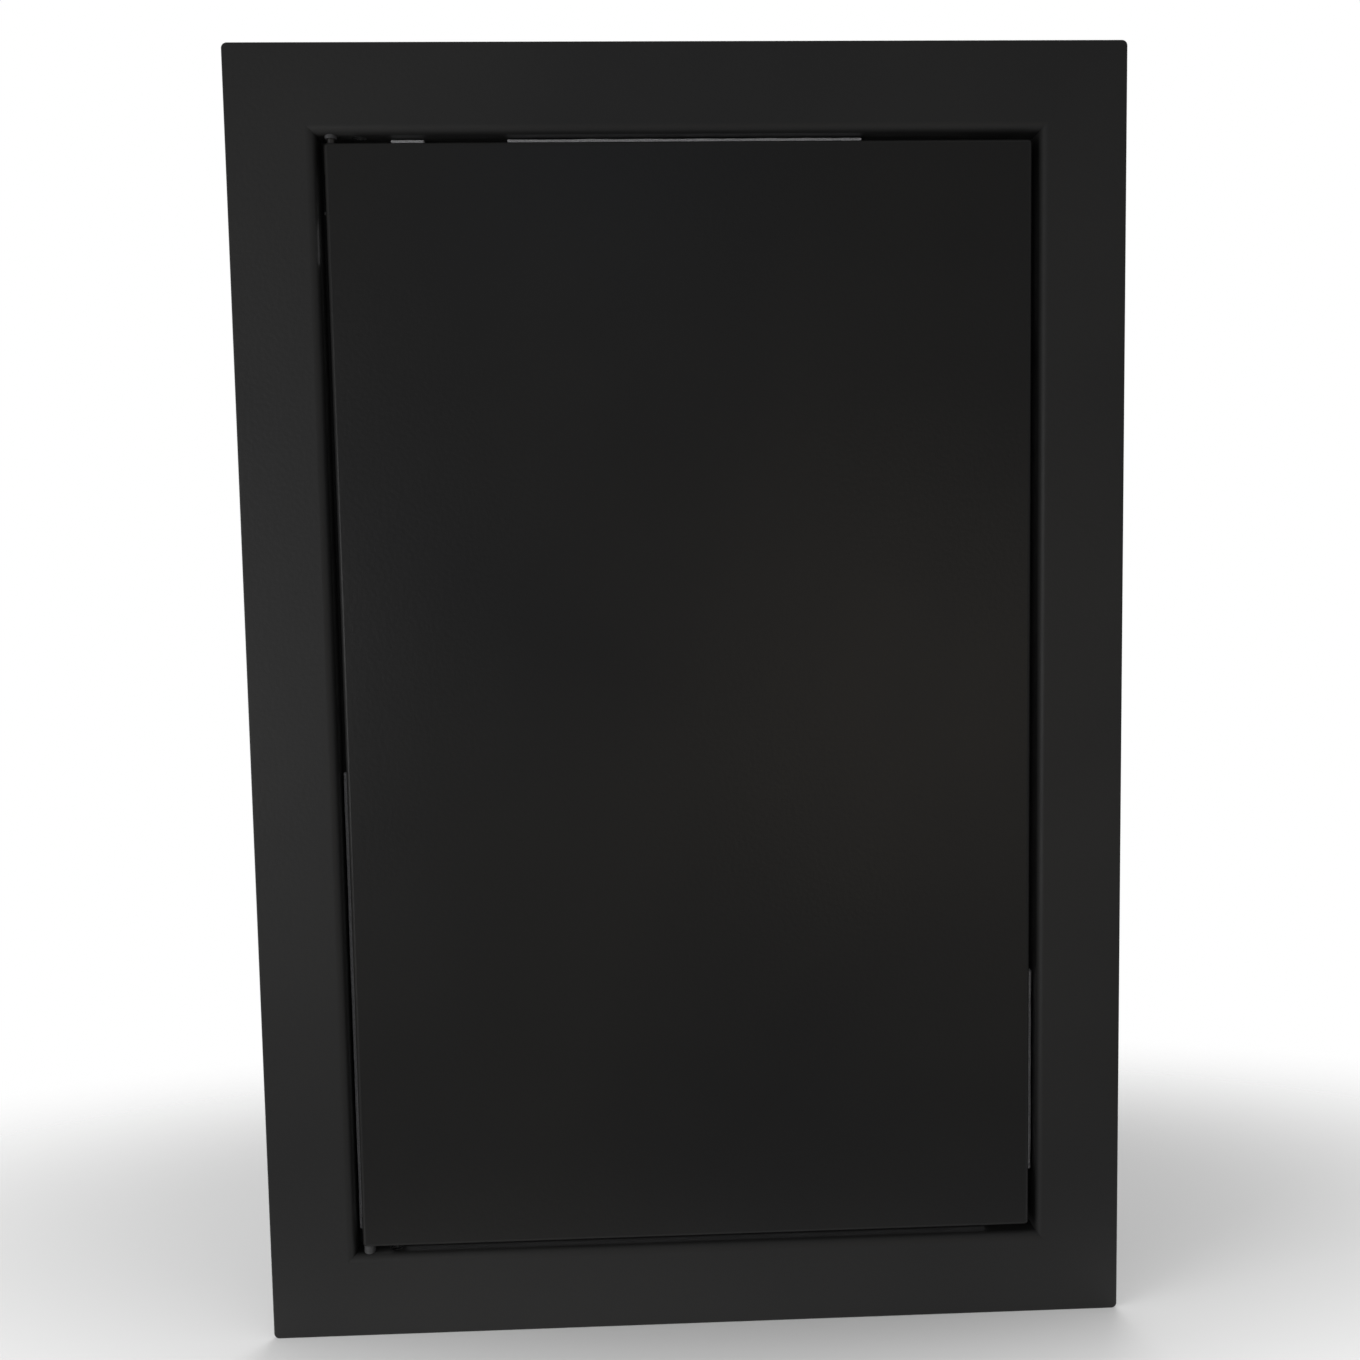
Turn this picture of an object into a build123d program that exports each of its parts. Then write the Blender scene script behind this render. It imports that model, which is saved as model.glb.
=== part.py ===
# Flush access panel: a folded steel picture frame that is fixed in a wall opening, and a folded steel
# door that hangs on two corner pivots and is held shut by two hidden touch latches.
#
# Axes: X across the wall, Y into the wall, Z up. The origin is the middle of the opening, on the wall
# plane, which is the rear face of the frame's flange. The front faces -Y and the hinge is at -X.

import os
from math import cos, pi, sin

from build123d import *

os.makedirs("parts", exist_ok=True)

# Door tray
door_width = 250.0
door_height = 400.0
door_sheet = 1.2
door_depth = 6.5
door_bend_radius = 1.4
door_corner_radius = 1.5
door_lip_width = 9.0
door_slit_width = 0.8
seam_gap = 3.0

# Frame section, from the flange's outer edge to the end of the rear return
frame_sheet = 1.5
flange_width = 31.0
flange_corner_radius = 2.0
flange_edge_radius = 0.6
frame_bend_radius = 3.0
ledge_setback = 10.0
ledge_width = 12.0
frame_depth = 32.0

# Foam seal strips on the ledge. The top and bottom ones are set out from the opening's hinge side, and
# the upright ones from its bottom.
seal_width = 8.0
seal_edge_radius = 0.8
seal_clearance = 0.2
hinge_seal_clearance = 0.7
seal_collar_gap = 0.2
hinge_seal_collar_gap = 0.5
seal_top_short_offset = 25.5
seal_top_short_length = 11.5
seal_top_long_offset = 66.5
seal_top_long_length = 126.5
seal_hinge_offset = 7.0
seal_hinge_length = 173.0
seal_latch_offset = 22.0
seal_latch_length = 77.0
seal_bottom_end_gap = 18.0

# Corner pivots: pins, knuckles and the leaves that carry them
pivot_inset = 2.0
pivot_setback = 3.8
pin_radius = 1.5
pin_fit = 0.05
pin_reach = 5.0
pin_tip_chamfer = 0.5
knuckle_radius = 2.6
knuckle_length = 10.0
leaf_width = 30.0
leaf_gap = 0.6
leaf_end_clearance = 0.4
leaf_corner_radius = 3.0
upper_leaf_height = 35.0
lower_leaf_height = 22.0
notch_width = 9.5
notch_clearance = 4.0
thrust_clearance = 0.05
pin_head_radius = 2.3
pin_head_thickness = 1.0

# Sprung upper pin: collar, spring, guide ear and finger pull
pin_travel = 6.5
pin_spring_length = 12.4
pin_spring_wire = 0.5
pin_spring_clearance = 0.15
pin_spring_turns = 6
ear_thickness = 1.0
ear_reach = 9.0
finger_length = 13.0
finger_bend_radius = 2.6
finger_clearance = 0.3

# Pivot blocks behind the top and bottom rails
block_length = 21.0
block_reach_left = 5.6
block_front_gap = 0.1
block_depth = 9.0
block_height = 6.5
block_chamfer = 1.5
boss_radius = 2.1
boss_fit = 0.05
upper_boss_height = 1.0
pin_bore_end_gap = 0.5
block_screw_offset = 9.5
block_screw_setback = 5.0
block_screw_radius = 1.3
block_screw_head_radius = 2.6
block_screw_length = 4.5

# Corner cleats and their rivets
cleat_sheet = 1.5
cleat_leg = 24.0
cleat_width = 12.0
cleat_setback = 15.5
cleat_bend_radius = 2.0
rivet_radius = 1.6
rivet_fit = 0.05
rivet_head_radius = 3.0
rivet_head_top_radius = 1.8
rivet_head_height = 1.1
rivet_end_distance = 9.0

# Touch latches
latch_end_distance = 75.0
latch_offset = 10.5
latch_front = 8.0
latch_stroke = 12.0
barrel_radius = 6.0
barrel_length = 42.0
barrel_cap = 4.0
barrel_chamfer = 0.8
latch_flange_radius = 8.0
latch_flange_thickness = 3.0
nut_across_flats = 16.0
nut_thickness = 4.0
thread_clearance = 0.05
plunger_radius = 4.0
plunger_fit = 0.1
plunger_guide_length = 15.0
plunger_head_radius = 4.6
plunger_head_length = 4.0
magnet_radius = 3.5
magnet_thickness = 2.0
magnet_proud = 0.3
magnet_fit = 0.05
strike_clearance = 0.05
latch_spring_radius = 3.0
latch_spring_wire = 0.8
latch_spring_turns = 5

# Springs
spring_wire_sides = 8
spring_steps_per_turn = 12

# Latch brackets and their screws
bracket_sheet = 1.5
bracket_depth = 16.0
bracket_reach = 21.0
bracket_height = 28.0
bracket_bend_radius = 2.2
bracket_corner_radius = 2.0
bracket_hole_clearance = 0.1
bracket_screw_distance = 18.0
bracket_screw_setback = 10.0
bracket_screw_radius = 2.0
bracket_screw_head_radius = 3.5
bracket_screw_head_height = 2.0
bracket_screw_length = 7.0
screw_fit = 0.05

# Strike plates and stiffening channel behind the door's face
strike_size = 22.0
strike_thickness = 1.0
strike_corner_radius = 2.0
stiffener_sheet = 0.8
stiffener_end_gap = 15.0
stiffener_crown = 24.0
stiffener_flange = 9.0
stiffener_clearance = 0.5
stiffener_bend_radius = 1.4

# Wall fixing holes through the rear returns of the stiles
fixing_hole_radius = 2.5
fixing_hole_end_distance = 53.0
fixing_hole_setback = 21.0

# Places that follow from the sizes above
opening_width = door_width + 2 * seam_gap
opening_height = door_height + 2 * seam_gap
overall_width = opening_width + 2 * flange_width
overall_height = opening_height + 2 * flange_width
return_x = opening_width / 2 - ledge_width
return_z = opening_height / 2 - ledge_width
face_y = -frame_sheet
door_back_y = face_y + door_sheet
door_rear_y = face_y + door_depth
pivot_x = -door_width / 2 + pivot_inset
pivot_y = face_y + pivot_setback
pin_bore_radius = pin_radius + pin_fit
latch_x = return_x - latch_offset
latch_height = door_height / 2 - latch_end_distance
fixing_hole_height = opening_height / 2 - fixing_hole_end_distance
magnet_y = door_back_y + strike_thickness + strike_clearance
plunger_y = magnet_y + magnet_proud
plunger_stem_length = latch_stroke + plunger_guide_length
plunger_rear_y = plunger_y + plunger_head_length + plunger_stem_length
bracket_plate_y = frame_depth - bracket_sheet
bracket_screw_y = frame_depth - bracket_screw_setback


def upright(depth):
    """The upright plane at a depth behind the wall plane. An extrusion into the wall is negative."""
    return Plane.XZ.offset(-depth)


def save(part, name):
    """Label a finished piece and write it under its own name."""
    part.label = name
    export_step(part, f"parts/{name}.step")
    print(f"{name}: {len(part.solids())} solid(s), {part.volume:.1f} mm3")


# Frame rails: one folded section for all four, mitred at both ends
def rail_section(half_opening):
    """The middle of the sheet, from the flange's outer edge to the end of the rear return."""
    middle = frame_sheet / 2
    return [
        (half_opening + flange_width, -middle),
        (half_opening + middle, -middle),
        (half_opening + middle, ledge_setback + middle),
        (half_opening - ledge_width + middle, ledge_setback + middle),
        (half_opening - ledge_width + middle, frame_depth),
    ]


def mitre_outline(outward, along, half_outer, half_length):
    """The trapezium that a rail fills in the frame, seen from the front."""
    cut = flange_width + ledge_width + frame_sheet
    corners = [
        outward * half_outer - along * half_length,
        outward * half_outer + along * half_length,
        outward * (half_outer - cut) + along * (half_length - cut),
        outward * (half_outer - cut) - along * (half_length - cut),
    ]
    return [(corner.X, corner.Z) for corner in corners]


rivet_y = cleat_setback + cleat_width / 2
rail_directions = {
    "frame_top_rail": Vector(0, 0, 1),
    "frame_bottom_rail": Vector(0, 0, -1),
    "frame_hinge_stile": Vector(-1, 0, 0),
    "frame_latch_stile": Vector(1, 0, 0),
}

for name, outward in rail_directions.items():
    upright_rail = outward.Z == 0
    half_opening = (opening_width if upright_rail else opening_height) / 2
    half_length = (overall_height if upright_rail else overall_width) / 2
    half_outer = half_opening + flange_width
    along = outward.cross(Vector(0, 1, 0))
    return_middle = half_opening - ledge_width + frame_sheet / 2
    with BuildPart() as rail:
        with BuildSketch(Plane((0, 0, 0), x_dir=outward, z_dir=along)):
            with BuildLine():
                FilletPolyline(*rail_section(half_opening), radius=frame_bend_radius - frame_sheet / 2)
            trace(line_width=frame_sheet)
        extrude(amount=half_length, both=True)
        with BuildSketch(Plane.XZ):
            RectangleRounded(overall_width, overall_height, flange_corner_radius)
            with BuildLine():
                Polyline(*mitre_outline(outward, along, half_outer, half_length), close=True)
            make_face(mode=Mode.INTERSECT)
        extrude(amount=2 * frame_depth, both=True, mode=Mode.INTERSECT)
        front_edges = rail.faces().sort_by(Axis.Y)[0].edges()
        fillet(
            [edge for edge in front_edges if (edge @ 0.5).dot(outward) > half_outer - flange_corner_radius],
            flange_edge_radius,
        )
        # Holes through the rear return: X runs into the wall on this plane, and Y along the rail
        return_plane = Plane(outward * (return_middle - frame_sheet), x_dir=(0, 1, 0), z_dir=outward)
        half_return = (return_z if upright_rail else return_x) - rivet_end_distance
        with BuildSketch(return_plane):
            with Locations((rivet_y, half_return), (rivet_y, -half_return)):
                Circle(rivet_radius + rivet_fit)
            if upright_rail:
                with Locations(
                    (fixing_hole_setback, fixing_hole_height),
                    (fixing_hole_setback, -fixing_hole_height),
                ):
                    Circle(fixing_hole_radius)
            if name == "frame_latch_stile":
                with Locations((bracket_screw_y, latch_height), (bracket_screw_y, -latch_height)):
                    with GridLocations(1, bracket_screw_distance, 1, 2):
                        Circle(bracket_screw_radius + screw_fit)
        extrude(amount=2 * frame_sheet, mode=Mode.SUBTRACT)
        if not upright_rail:
            # The pivot block's boss and its screw pass through the collar
            with BuildSketch(Plane.XY.offset(outward.Z * (half_opening - frame_sheet))):
                with Locations((pivot_x, pivot_y)):
                    Circle(boss_radius + boss_fit)
            extrude(amount=outward.Z * 3 * frame_sheet, mode=Mode.SUBTRACT)
            screw_seat = Plane(
                (pivot_x + block_screw_offset, block_screw_setback, outward.Z * half_opening),
                x_dir=(1, 0, 0),
                z_dir=-outward,
            )
            with Locations(screw_seat):
                CounterSinkHole(
                    block_screw_radius + screw_fit,
                    block_screw_head_radius + screw_fit,
                    depth=3 * frame_sheet,
                    counter_sink_angle=90,
                )
    save(rail.part, name)


# Corner cleats: bent angles that back the four mitres, on the outside of the rear returns
cleat_x = return_x + frame_sheet
cleat_z = return_z + frame_sheet
corners = [(-1, 1), (1, 1), (1, -1), (-1, -1)]

for number, (side, end) in enumerate(corners, start=1):
    with BuildPart() as cleat:
        with BuildSketch(upright(cleat_setback)):
            with BuildLine():
                Polyline(
                    (side * cleat_x, end * cleat_z),
                    (side * cleat_x, end * (cleat_z - cleat_leg)),
                    (side * (cleat_x + cleat_sheet), end * (cleat_z - cleat_leg)),
                    (side * (cleat_x + cleat_sheet), end * (cleat_z + cleat_sheet)),
                    (side * (cleat_x - cleat_leg), end * (cleat_z + cleat_sheet)),
                    (side * (cleat_x - cleat_leg), end * cleat_z),
                    close=True,
                )
            make_face()
        extrude(amount=-cleat_width)
        outer_corner = Vector(side * (cleat_x + cleat_sheet), rivet_y, end * (cleat_z + cleat_sheet))
        fillet(cleat.edges().filter_by(Axis.Y).sort_by_distance(outer_corner)[0], cleat_bend_radius)
        with BuildSketch(Plane.YZ.offset(side * cleat_x)):
            with Locations((rivet_y, end * (return_z - rivet_end_distance))):
                Circle(rivet_radius + rivet_fit)
        extrude(amount=side * cleat_sheet, mode=Mode.SUBTRACT)
        with BuildSketch(Plane.XY.offset(end * cleat_z)):
            with Locations((side * (return_x - rivet_end_distance), rivet_y)):
                Circle(rivet_radius + rivet_fit)
        extrude(amount=end * cleat_sheet, mode=Mode.SUBTRACT)
    save(cleat.part, f"corner_cleat_{number}")


# Corner rivets: two at each corner, through a rear return and a cleat
def rivet(seat, grip):
    """A round-headed rivet. The seat plane lies on the sheet under its head and faces along its shank."""
    with Locations(seat):
        Cylinder(rivet_radius, grip, align=(Align.CENTER, Align.CENTER, Align.MIN))
        Cone(
            rivet_head_top_radius,
            rivet_head_radius,
            rivet_head_height,
            align=(Align.CENTER, Align.CENTER, Align.MAX),
        )
    with Locations(seat.offset(grip)):
        Cone(
            rivet_head_radius,
            rivet_head_top_radius,
            rivet_head_height,
            align=(Align.CENTER, Align.CENTER, Align.MIN),
        )


with BuildPart() as corner_rivets:
    for side, end in corners:
        rivet(
            Plane((side * return_x, rivet_y, end * (return_z - rivet_end_distance)), z_dir=(side, 0, 0)),
            frame_sheet + cleat_sheet,
        )
        rivet(
            Plane((side * (return_x - rivet_end_distance), rivet_y, end * return_z), z_dir=(0, 0, end)),
            frame_sheet + cleat_sheet,
        )
save(corner_rivets.part, "corner_rivets")


# Foam seal strips, stuck on the ledge just inside the collar. The one beside the hinge is thinner and
# further in, clear of the door's turning edge.
half_width = opening_width / 2
half_height = opening_height / 2
seal_bottom_length = opening_width - 2 * seal_bottom_end_gap
seal_strips = {
    "seal_top_short": (Axis.X, 1, seal_top_short_offset, seal_top_short_length),
    "seal_top_long": (Axis.X, 1, seal_top_long_offset, seal_top_long_length),
    "seal_bottom": (Axis.X, -1, seal_bottom_end_gap, seal_bottom_length),
    "seal_hinge_side": (Axis.Z, -1, seal_hinge_offset, seal_hinge_length),
    "seal_latch_side": (Axis.Z, 1, seal_latch_offset, seal_latch_length),
}

for name, (direction, side, offset_along, length) in seal_strips.items():
    beside_hinge = name == "seal_hinge_side"
    clearance = hinge_seal_clearance if beside_hinge else seal_clearance
    middle_inset = seal_width / 2 + (hinge_seal_collar_gap if beside_hinge else seal_collar_gap)
    start = offset_along - (half_width if direction == Axis.X else half_height)
    with BuildPart() as seal:
        with BuildSketch(upright(ledge_setback)):
            if direction == Axis.X:
                with Locations((start + length / 2, side * (half_height - middle_inset))):
                    Rectangle(length, seal_width)
            else:
                with Locations((side * (half_width - middle_inset), start + length / 2)):
                    Rectangle(seal_width, length)
        extrude(amount=ledge_setback - door_rear_y - clearance)
        # The edge beside the collar is bevelled clear of the inside of the bend
        across = Axis.Z if direction == Axis.X else Axis.X
        ledge_edges = seal.faces().sort_by(Axis.Y)[-1].edges().filter_by(direction).sort_by(across)
        chamfer(ledge_edges[-1 if side > 0 else 0], frame_bend_radius - frame_sheet)
        fillet(seal.faces().sort_by(Axis.Y)[0].edges().filter_by(direction), seal_edge_radius)
    save(seal.part, name)


# Pivot blocks: nylon, behind the top and bottom rails, with a boss that goes through the collar
block_x = pivot_x - block_reach_left + block_length / 2
block_y = block_front_gap + block_depth / 2
pivot_ends = {"upper": 1, "lower": -1}

for level, end in pivot_ends.items():
    rail_z = opening_height / 2 + frame_sheet
    boss_height = upper_boss_height if level == "upper" else seam_gap - thrust_clearance
    with BuildPart() as block:
        with BuildSketch(Plane.XY.offset(end * rail_z)):
            with Locations((block_x, block_y)):
                Rectangle(block_length, block_depth)
        extrude(amount=end * block_height)
        seat_face = block.faces().sort_by(Axis.Z)[0 if end > 0 else -1]
        chamfer(seat_face.edges().filter_by(Axis.X).sort_by(Axis.Y)[0], block_chamfer)
        with BuildSketch(Plane.XY.offset(end * (opening_height / 2 - boss_height))):
            with Locations((pivot_x, pivot_y)):
                Circle(boss_radius)
        extrude(amount=end * (boss_height + 2 * frame_sheet))
        with BuildSketch(Plane.XY.offset(end * (opening_height / 2 - boss_height))):
            with Locations((pivot_x, pivot_y)):
                Circle(pin_bore_radius)
        extrude(amount=end * (boss_height + pin_reach + pin_bore_end_gap), mode=Mode.SUBTRACT)
        with BuildSketch(Plane.XY.offset(end * rail_z)):
            with Locations((pivot_x + block_screw_offset, block_screw_setback)):
                Circle(block_screw_radius + screw_fit)
        extrude(amount=end * (block_screw_length + screw_fit), mode=Mode.SUBTRACT)
    save(block.part, f"{level}_pivot_block")

with BuildPart() as pivot_block_screws:
    for end in pivot_ends.values():
        head_height = block_screw_head_radius - block_screw_radius
        seat = Plane(
            (pivot_x + block_screw_offset, block_screw_setback, end * opening_height / 2),
            x_dir=(1, 0, 0),
            z_dir=(0, 0, end),
        )
        with Locations(seat):
            Cone(
                block_screw_head_radius,
                block_screw_radius,
                head_height,
                align=(Align.CENTER, Align.CENTER, Align.MIN),
            )
            Cylinder(
                block_screw_radius,
                frame_sheet + block_screw_length,
                align=(Align.CENTER, Align.CENTER, Align.MIN),
            )
save(pivot_block_screws.part, "pivot_block_screws")


# Latch brackets: steel angles on the latch stile's rear return, one above and one below
bracket_middle = bracket_sheet / 2

for level, end in pivot_ends.items():
    latch_z = end * latch_height
    with BuildPart() as bracket:
        with BuildSketch(Plane.XY.offset(latch_z)):
            with BuildLine():
                FilletPolyline(
                    (return_x - bracket_middle, frame_depth - bracket_depth),
                    (return_x - bracket_middle, frame_depth - bracket_middle),
                    (return_x - bracket_reach, frame_depth - bracket_middle),
                    radius=bracket_bend_radius - bracket_middle,
                )
            trace(line_width=bracket_sheet)
        extrude(amount=bracket_height / 2, both=True)
        free_corners = bracket.edges().filter_by(Axis.Y).sort_by(Axis.X)[:2]
        fillet(free_corners, bracket_corner_radius)
        with BuildSketch(upright(bracket_plate_y)):
            with Locations((latch_x, latch_z)):
                Circle(barrel_radius + bracket_hole_clearance)
        extrude(amount=-bracket_sheet, mode=Mode.SUBTRACT)
        with BuildSketch(Plane.YZ.offset(return_x - bracket_sheet)):
            with Locations((bracket_screw_y, latch_z)):
                with GridLocations(1, bracket_screw_distance, 1, 2):
                    Circle(bracket_screw_radius + screw_fit)
        extrude(amount=bracket_sheet, mode=Mode.SUBTRACT)
    save(bracket.part, f"{level}_latch_bracket")

with BuildPart() as latch_bracket_screws:
    for end in pivot_ends.values():
        for offset_z in (-bracket_screw_distance / 2, bracket_screw_distance / 2):
            seat = Plane(
                (return_x - bracket_sheet, bracket_screw_y, end * latch_height + offset_z),
                z_dir=(1, 0, 0),
            )
            with Locations(seat):
                Cylinder(
                    bracket_screw_radius,
                    bracket_screw_length,
                    align=(Align.CENTER, Align.CENTER, Align.MIN),
                )
                Cone(
                    bracket_screw_head_radius - bracket_screw_head_height / 4,
                    bracket_screw_head_radius,
                    bracket_screw_head_height,
                    align=(Align.CENTER, Align.CENTER, Align.MAX),
                )
save(latch_bracket_screws.part, "latch_bracket_screws")


# Springs: an eight-sided wire, wound in short straight steps
def wind_spring(base, coil_radius, rise, turns, wire):
    """Wind a spring up from a base plane, with its wire's middle a coil radius from the plane's middle."""
    steps = turns * spring_steps_per_turn
    angles = [2 * pi * step / spring_steps_per_turn for step in range(steps + 1)]
    with BuildLine(base) as coil:
        Polyline(
            *[
                (coil_radius * cos(angle), coil_radius * sin(angle), rise * step / steps)
                for step, angle in enumerate(angles)
            ]
        )
    with BuildSketch(Plane(origin=coil.line @ 0, z_dir=coil.line % 0)) as wire_end:
        RegularPolygon(wire / 2, spring_wire_sides)
    sweep(sections=wire_end.sketch, path=coil.line, transition=Transition.RIGHT)


# Touch latches: a barrel with a fixed flange, a lock nut behind the bracket, an ejector spring, and a
# plunger that carries the magnet
for level, end in pivot_ends.items():
    latch_z = end * latch_height

    with BuildPart() as latch_body:
        with BuildSketch(upright(latch_front)):
            with Locations((latch_x, latch_z)):
                Circle(barrel_radius)
        extrude(amount=-barrel_length)
        chamfer(latch_body.edges().filter_by(GeomType.CIRCLE), barrel_chamfer)
        with BuildSketch(upright(bracket_plate_y)):
            with Locations((latch_x, latch_z)):
                Circle(latch_flange_radius)
        extrude(amount=latch_flange_thickness)
        with BuildSketch(upright(latch_front)):
            with Locations((latch_x, latch_z)):
                Circle(plunger_radius + plunger_fit)
        extrude(amount=barrel_cap - barrel_length, mode=Mode.SUBTRACT)
    save(latch_body.part, f"{level}_latch_body")

    with BuildPart() as latch_nut:
        with BuildSketch(upright(frame_depth)):
            with Locations((latch_x, latch_z)):
                RegularPolygon(nut_across_flats / 2, 6, major_radius=False)
                Circle(barrel_radius + thread_clearance, mode=Mode.SUBTRACT)
        extrude(amount=-nut_thickness)
    save(latch_nut.part, f"{level}_latch_nut")

    with BuildPart() as latch_spring:
        spring_base_y = plunger_rear_y + latch_spring_wire / 2
        spring_end_y = latch_front + barrel_length - barrel_cap - latch_spring_wire / 2
        wind_spring(
            Plane((latch_x, spring_base_y, latch_z), z_dir=(0, 1, 0)),
            latch_spring_radius,
            spring_end_y - spring_base_y,
            latch_spring_turns,
            latch_spring_wire,
        )
    save(latch_spring.part, f"{level}_latch_spring")

    with BuildPart() as plunger:
        with BuildSketch(upright(plunger_y)):
            with Locations((latch_x, latch_z)):
                Circle(plunger_head_radius)
        extrude(amount=-plunger_head_length)
        with BuildSketch(upright(plunger_y + plunger_head_length)):
            with Locations((latch_x, latch_z)):
                Circle(plunger_radius)
        extrude(amount=-plunger_stem_length)
        with BuildSketch(upright(plunger_y)):
            with Locations((latch_x, latch_z)):
                Circle(magnet_radius + magnet_fit)
        extrude(amount=magnet_proud - magnet_thickness, mode=Mode.SUBTRACT)
    save(plunger.part, f"{level}_latch_plunger")

    with BuildPart() as magnet:
        with BuildSketch(upright(magnet_y)):
            with Locations((latch_x, latch_z)):
                Circle(magnet_radius)
        extrude(amount=-magnet_thickness)
    save(magnet.part, f"{level}_latch_magnet")

    with BuildPart() as strike:
        with BuildSketch(upright(door_back_y)):
            with Locations((latch_x, latch_z)):
                RectangleRounded(strike_size, strike_size, strike_corner_radius)
        extrude(amount=-strike_thickness)
    save(strike.part, f"{level}_strike_plate")


# The hinge's heights, counted from the middle of the door
leaf_edge_z = door_height / 2 - door_sheet - leaf_end_clearance
knuckle_inner_z = door_height / 2 - knuckle_length
collar_base_z = knuckle_inner_z - thrust_clearance - pin_head_thickness
ear_top_z = collar_base_z - pin_spring_length
finger_z = ear_top_z - ear_thickness - finger_clearance - finger_bend_radius
pin_tip_z = opening_height / 2 + pin_reach

# Door leaf: a folded tray with returns and inward lips, slit at the free corners and cut away for the
# pivots at the hinge corners. The upper cut leaves room for the finger pull's travel.
upper_notch_height = door_height / 2 - (finger_z - pin_radius - pin_travel) + notch_clearance
lower_notch_height = knuckle_length + notch_clearance
hinge_notches = {1: upper_notch_height, -1: lower_notch_height}

with BuildPart() as door_leaf:
    with BuildSketch(upright(face_y)):
        RectangleRounded(door_width, door_height, door_corner_radius)
    extrude(amount=-door_depth)
    fillet(door_leaf.faces().sort_by(Axis.Y)[0].edges(), door_bend_radius)
    fillet(door_leaf.faces().sort_by(Axis.Y)[-1].edges(), door_bend_radius)
    with BuildSketch(upright(door_back_y)):
        Rectangle(door_width - 2 * door_sheet, door_height - 2 * door_sheet)
    extrude(amount=2 * door_sheet - door_depth, mode=Mode.SUBTRACT)
    with BuildSketch(upright(door_rear_y)):
        Rectangle(door_width - 2 * door_lip_width, door_height - 2 * door_lip_width)
        slit_length = 2 * door_lip_width
        for end in pivot_ends.values():
            with Locations((door_width / 2 - door_lip_width, end * (door_height / 2 - door_lip_width))):
                Rectangle(slit_length, door_slit_width, rotation=end * 45)
    extrude(amount=2 * door_sheet, mode=Mode.SUBTRACT)
    for end, height in hinge_notches.items():
        with BuildSketch(upright(door_back_y)):
            with Locations(((notch_width - door_width) / 2, end * (door_height - height) / 2)):
                Rectangle(notch_width + 2 * door_bend_radius, height + 2 * door_bend_radius)
        extrude(amount=-door_depth, mode=Mode.SUBTRACT)
save(door_leaf.part, "door_leaf")

# Stiffening channel, welded behind the middle of the face
with BuildPart() as door_stiffener:
    half_crown = stiffener_crown / 2 - stiffener_sheet / 2
    foot_y = door_back_y + stiffener_sheet / 2
    crown_y = door_rear_y - stiffener_clearance - stiffener_sheet / 2
    with BuildSketch(Plane.XY):
        with BuildLine():
            FilletPolyline(
                (-half_crown - stiffener_flange, foot_y),
                (-half_crown, foot_y),
                (-half_crown, crown_y),
                (half_crown, crown_y),
                (half_crown, foot_y),
                (half_crown + stiffener_flange, foot_y),
                radius=stiffener_bend_radius - stiffener_sheet / 2,
            )
        trace(line_width=stiffener_sheet)
    extrude(amount=door_height / 2 - stiffener_end_gap, both=True)
save(door_stiffener.part, "door_stiffener")


# Hinge brackets: a leaf welded behind the face, with a knuckle that the pin goes through. The upper one
# also has a guide ear for the sprung pin.
leaf_sheet = knuckle_radius - pin_bore_radius
leaf_heights = {"upper": upper_leaf_height, "lower": lower_leaf_height}

for level, end in pivot_ends.items():
    leaf_left = pivot_x + knuckle_radius + leaf_gap
    leaf_right = pivot_x + leaf_width
    height = leaf_heights[level]
    with BuildPart() as hinge_bracket:
        with BuildSketch(upright(door_back_y)):
            with Locations(((leaf_left + leaf_right) / 2, end * (leaf_edge_z - height / 2))):
                RectangleRounded(leaf_right - leaf_left, height, leaf_corner_radius)
            # The neck between the leaf and the knuckle
            neck_length = leaf_edge_z - knuckle_inner_z
            neck_right = leaf_left + leaf_corner_radius
            with Locations(((pivot_x + neck_right) / 2, end * (leaf_edge_z - neck_length / 2))):
                Rectangle(neck_right - pivot_x, neck_length)
        extrude(amount=-leaf_sheet)
        with BuildSketch(Plane.XY.offset(end * knuckle_inner_z)):
            with Locations((pivot_x, pivot_y)):
                Circle(knuckle_radius)
        extrude(amount=end * knuckle_length)
        if level == "upper":
            with BuildSketch(Plane.XY.offset(ear_top_z)):
                ear_y = door_back_y + (pivot_y - door_back_y + knuckle_radius) / 2
                with Locations((pivot_x - knuckle_radius + ear_reach / 2, ear_y)):
                    Rectangle(ear_reach, pivot_y - door_back_y + knuckle_radius)
            extrude(amount=-ear_thickness)
        with BuildSketch(Plane.XY):
            with Locations((pivot_x, pivot_y)):
                Circle(pin_bore_radius)
        extrude(amount=end * door_height, mode=Mode.SUBTRACT)
    save(hinge_bracket.part, f"{level}_hinge_bracket")

# Lower pin: fixed, its head on top of the knuckle
with BuildPart() as lower_hinge_pin:
    with BuildSketch(Plane.XY.offset(-knuckle_inner_z)):
        with Locations((pivot_x, pivot_y)):
            Circle(pin_head_radius)
    extrude(amount=pin_head_thickness)
    with BuildSketch(Plane.XY.offset(-knuckle_inner_z)):
        with Locations((pivot_x, pivot_y)):
            Circle(pin_radius)
    extrude(amount=knuckle_inner_z - pin_tip_z)
    chamfer(lower_hinge_pin.edges().sort_by(Axis.Z)[0], pin_tip_chamfer)
save(lower_hinge_pin.part, "lower_hinge_pin")

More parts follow.
